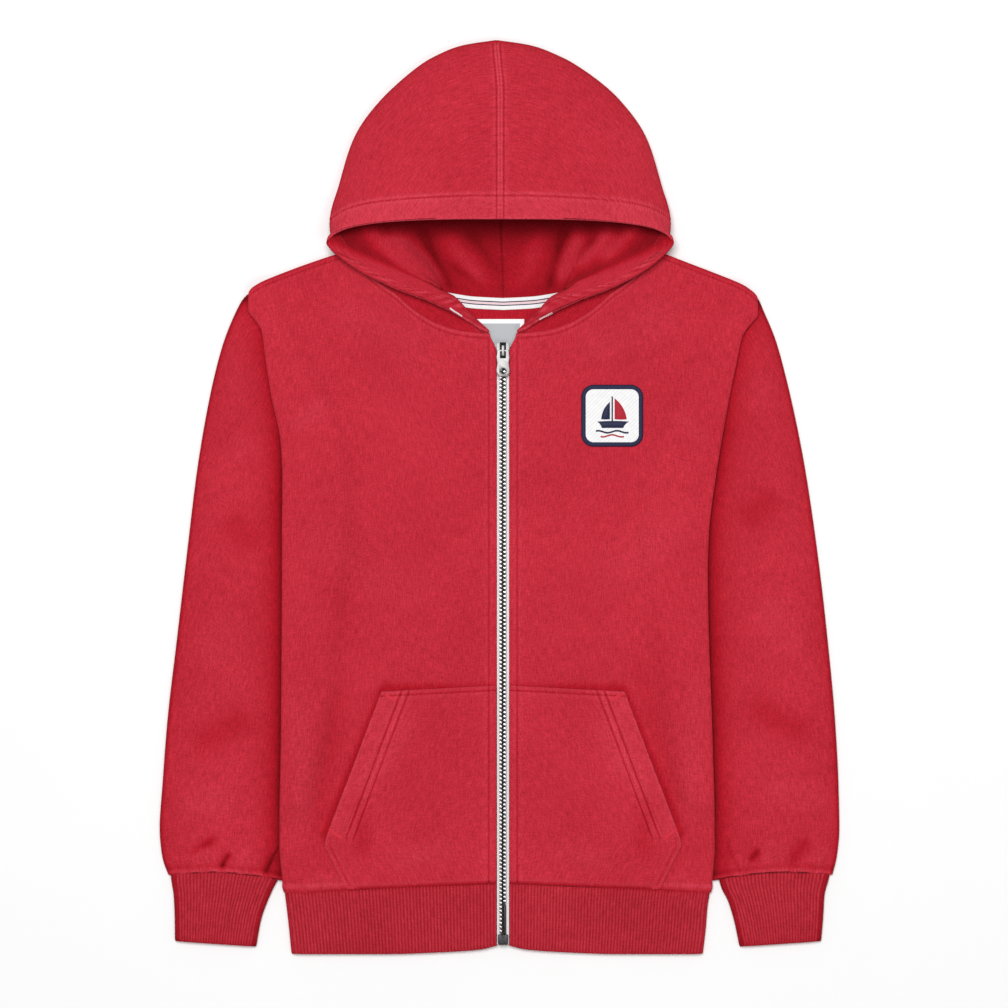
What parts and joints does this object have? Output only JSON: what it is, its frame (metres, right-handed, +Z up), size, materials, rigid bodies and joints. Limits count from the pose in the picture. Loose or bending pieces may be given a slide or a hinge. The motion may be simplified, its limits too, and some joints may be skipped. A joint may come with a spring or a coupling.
{
  "type": "child's zip-front hoodie, laid flat",
  "caption": "Child's zip-front hooded sweatshirt laid flat on its back: ribbed cuffs and hem, pouch pockets, an open hood, a metal zip with a swinging pull tab and a chest patch.",
  "frame": {"origin": "middle of the outline seen from above, on the surface that the garment lies on", "axes": "+X towards the wearer's left sleeve, +Y from the hem towards the hood, +Z up, away from the surface"},
  "size_m": [0.5834, 0.785, 0.0431],
  "materials": {
    "fleece": "matte brushed jersey",
    "rib": "matte rib knit",
    "tape": "woven tape",
    "label": "woven label",
    "zip_metal": "nickel",
    "dark_metal": "dark nickel",
    "patch": "printed twill"
  },
  "bodies": {
    "garment": {"back": "fleece", "front_right": "fleece", "front_left": "fleece", "sleeve_right": "fleece", "sleeve_left": "fleece", "hood_right": "fleece", "hood_left": "fleece", "pocket_right": "fleece", "pocket_left": "fleece", "cuff_right": "rib", "cuff_left": "rib", "hem_rib": "rib", "neck_tape": "tape", "neck_label": "label", "zip_tape_right": "tape", "zip_tape_left": "tape", "zip_chain": "zip_metal", "zip_pin": "zip_metal", "zip_box": "dark_metal", "zip_slider": "zip_metal", "chest_patch": "patch"},
    "pull_tab": {"zip_pull": "zip_metal"}
  },
  "joints": [
    {"name": "pull_tab_swing", "type": "hinge", "parent": "garment", "child": "pull_tab", "pos_m": [0.003, 0.12542, 0.01135], "axis": [-1, 0, 0], "range_deg": [0, 165]}
  ]
}
